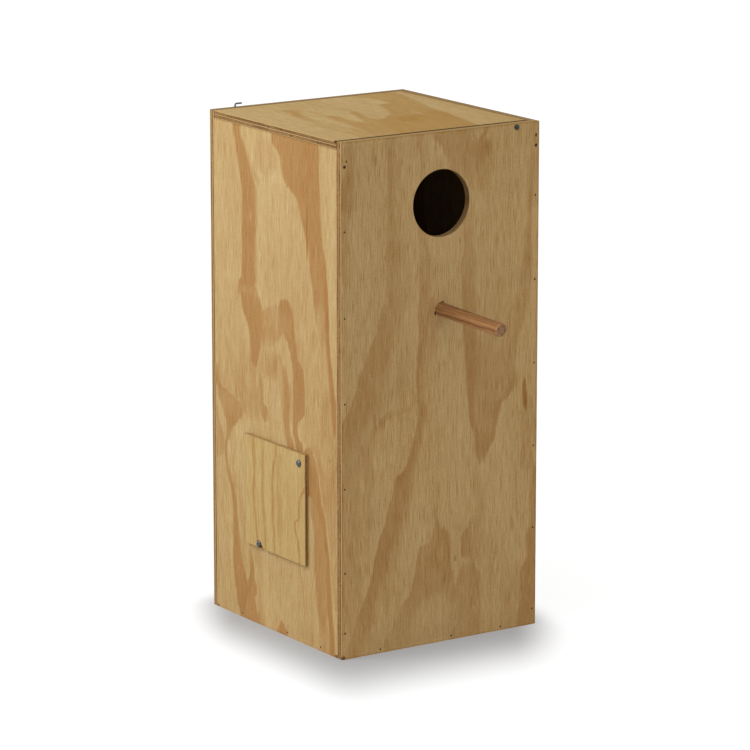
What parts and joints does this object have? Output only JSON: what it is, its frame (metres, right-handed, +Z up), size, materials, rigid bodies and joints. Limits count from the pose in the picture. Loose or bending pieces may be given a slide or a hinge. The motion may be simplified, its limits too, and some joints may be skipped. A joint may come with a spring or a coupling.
{
  "type": "parrot nest box",
  "caption": "Tall plywood nest box with a round entrance over a dowel perch, a lid that swings up on two screws, and a small inspection door that turns on a screw.",
  "frame": {"origin": "middle of the box's underside", "axes": "+Z up, the front with its entrance faces -Y, the side with the inspection door faces -X"},
  "size_m": [0.2796, 0.4026, 0.6053],
  "materials": {
    "ply": "raw sanded pine plywood",
    "door_ply": "raw sanded thin plywood",
    "perch_wood": "raw turned hardwood",
    "zinc_steel": "zinc plated"
  },
  "bodies": {
    "box": {"front_panel": "ply", "back_panel": "ply", "left_side": "ply", "right_side": "ply", "floor_panel": "ply", "perch_dowel": "perch_wood", "ladder_mesh": "zinc_steel", "ladder_staples": "zinc_steel", "door_pivot_screw": "zinc_steel", "door_latch_screw": "zinc_steel", "front_left_brads": "zinc_steel", "front_right_brads": "zinc_steel", "front_floor_brads": "zinc_steel", "back_left_brads": "zinc_steel", "back_right_brads": "zinc_steel", "back_floor_brads": "zinc_steel", "left_floor_brads": "zinc_steel", "right_floor_brads": "zinc_steel"},
    "lid": {"lid_panel": "ply", "lid_pivot_screws": "zinc_steel"},
    "door": {"door_panel": "door_ply"},
    "hook": {"lid_hook": "zinc_steel"}
  },
  "joints": [
    {"name": "lid_swing", "type": "hinge", "parent": "box", "child": "lid", "pos_m": [0.104, 0, 0.5955], "axis": [0, 1, 0], "range_deg": [0, 155]},
    {"name": "door_turn", "type": "hinge", "parent": "box", "child": "door", "pos_m": [-0.136, -0.058, 0.216], "axis": [1, 0, 0], "range_deg": [-1.2, 135]},
    {"name": "hook_turn", "type": "hinge", "parent": "box", "child": "hook", "pos_m": [-0.104, 0.1355, 0.6], "axis": [0, 0, 1], "range_deg": [-90, 0]}
  ]
}
